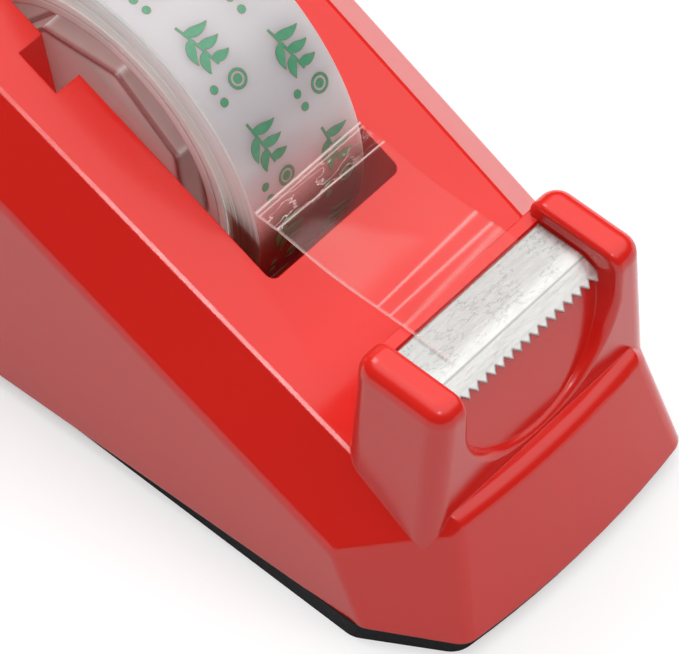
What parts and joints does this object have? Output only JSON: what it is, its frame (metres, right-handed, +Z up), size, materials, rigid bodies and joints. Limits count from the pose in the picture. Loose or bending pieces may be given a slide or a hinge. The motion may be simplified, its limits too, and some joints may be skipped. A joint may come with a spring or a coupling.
{
  "type": "tape dispenser",
  "caption": "Weighted desktop tape dispenser: sloped shell with a roll well, lift-out hub and axle that carry the spinning roll, and a toothed cutter blade between two cheeks.",
  "frame": {"origin": "centre of the bounding box at the foot, on the resting surface", "axes": "+X towards the cutter end, +Y across to the left seen from behind, +Z up"},
  "size_m": [0.118, 0.0628, 0.0614],
  "materials": {
    "shell_red": "glossy, slightly soft moulded plastic",
    "cover_black": "matte",
    "screw_steel": "zinc plated",
    "ballast_iron": "as cast",
    "pad_foam": "matte closed-cell foam",
    "blade_steel": "bright rolled strip",
    "axle_white": "satin",
    "hub_clear": "clear, faintly tinted",
    "core_clear": "translucent",
    "tape_wound": "layered clear film, satin end faces",
    "tape_film": "clear film"
  },
  "bodies": {
    "housing": {"housing": "shell_red", "base_cover": "cover_black", "base_screws": "screw_steel", "ballast": "ballast_iron", "anti_slip_pad": "pad_foam", "cutter_blade": "blade_steel"},
    "axle": {"hub_axle": "axle_white", "tape_strip": "tape_film"},
    "spool": {"hub_half_left": "hub_clear", "hub_half_right": "hub_clear", "tape_core": "core_clear", "tape_roll": "tape_wound"}
  },
  "joints": [
    {"name": "spool_lift", "type": "slide", "parent": "housing", "child": "axle", "axis": [-0.1736, 0, 0.9848], "range_m": [0, 0.02]},
    {"name": "spool_spin", "type": "hinge", "parent": "axle", "child": "spool", "pos_m": [-0.0143, 0, 0.0334], "axis": [0, 1, 0], "continuous": true}
  ]
}
